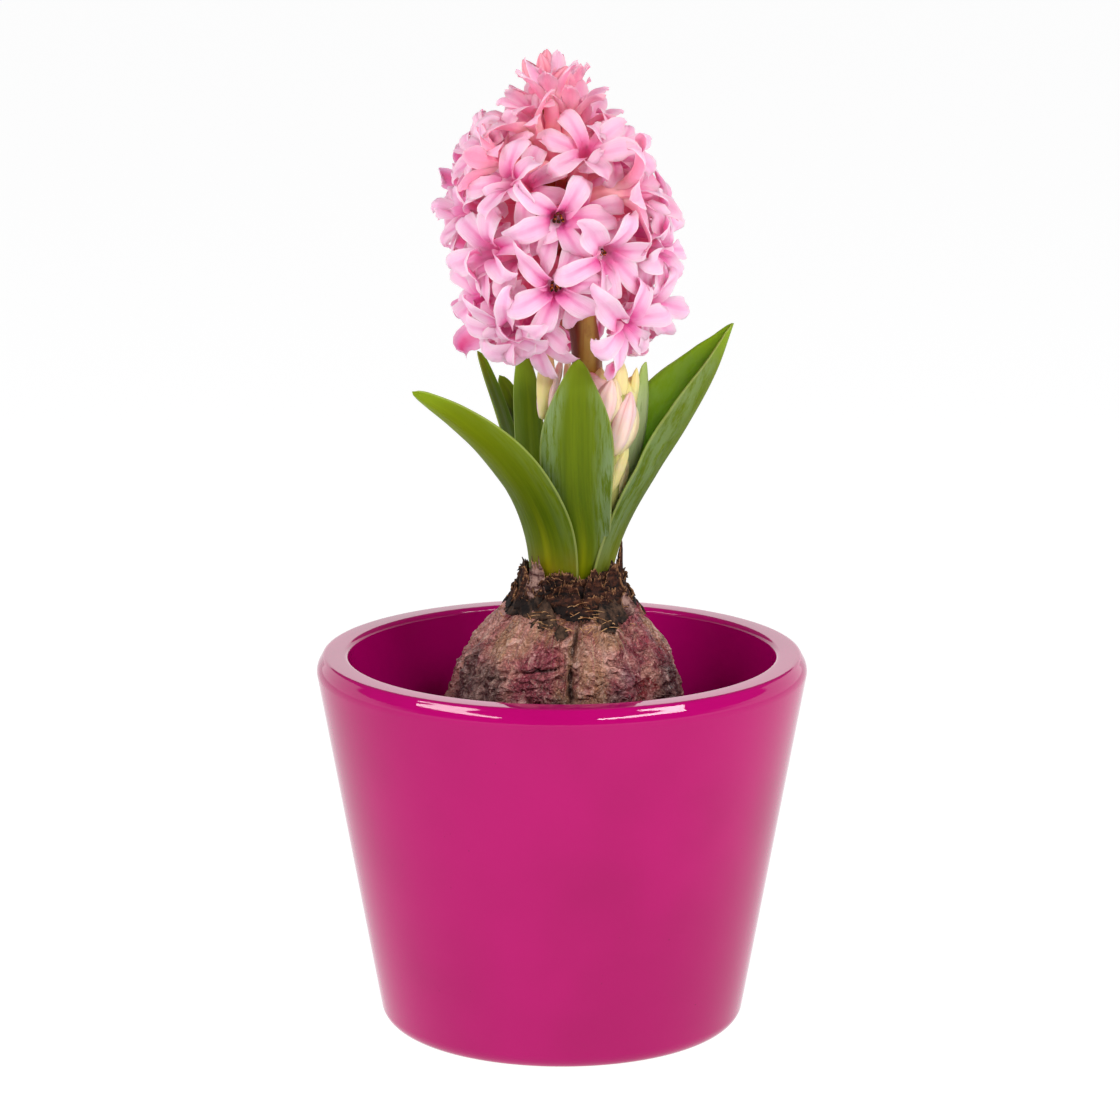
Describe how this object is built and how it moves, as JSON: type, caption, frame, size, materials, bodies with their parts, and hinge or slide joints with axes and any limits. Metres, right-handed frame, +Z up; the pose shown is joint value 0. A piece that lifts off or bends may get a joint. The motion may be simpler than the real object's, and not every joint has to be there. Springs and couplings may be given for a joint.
{
  "type": "potted hyacinth",
  "caption": "Forced pink hyacinth in flower, its bulb half buried in soil in a round tapered glazed magenta pot, with a second flower stalk in bud.",
  "frame": {"origin": "the pot's axis at the plane that its foot ring stands on", "axes": "+Z up along the pot's axis; the front, where the main flower faces, is -Y; +X is to the viewer's right"},
  "size_m": [0.125, 0.125, 0.2496],
  "materials": {
    "pink_glaze": "smooth glossy magenta glaze",
    "potting_soil": null,
    "bulb_tunic": null,
    "dry_scales": "dry ragged dark brown scale tips",
    "leaf_green": null,
    "stalk": "smooth fleshy stalk, red-brown to peach",
    "pink_petal": "soft waxy pink petals, deeper pink at the throat",
    "pale_bud": "closed cream to pale pink buds"
  },
  "bodies": {
    "root": {"pot": "pink_glaze", "soil": "potting_soil", "bulb": "bulb_tunic", "scale_collar": "dry_scales", "leaf_left": "leaf_green", "leaf_front": "leaf_green", "leaf_right": "leaf_green", "leaf_right_upright": "leaf_green", "leaf_left_back": "leaf_green", "leaf_left_middle": "leaf_green", "leaf_back": "leaf_green", "flower_stalk": "stalk", "flower_head": "pink_petal", "bud_spike": "pale_bud"}
  },
  "joints": []
}
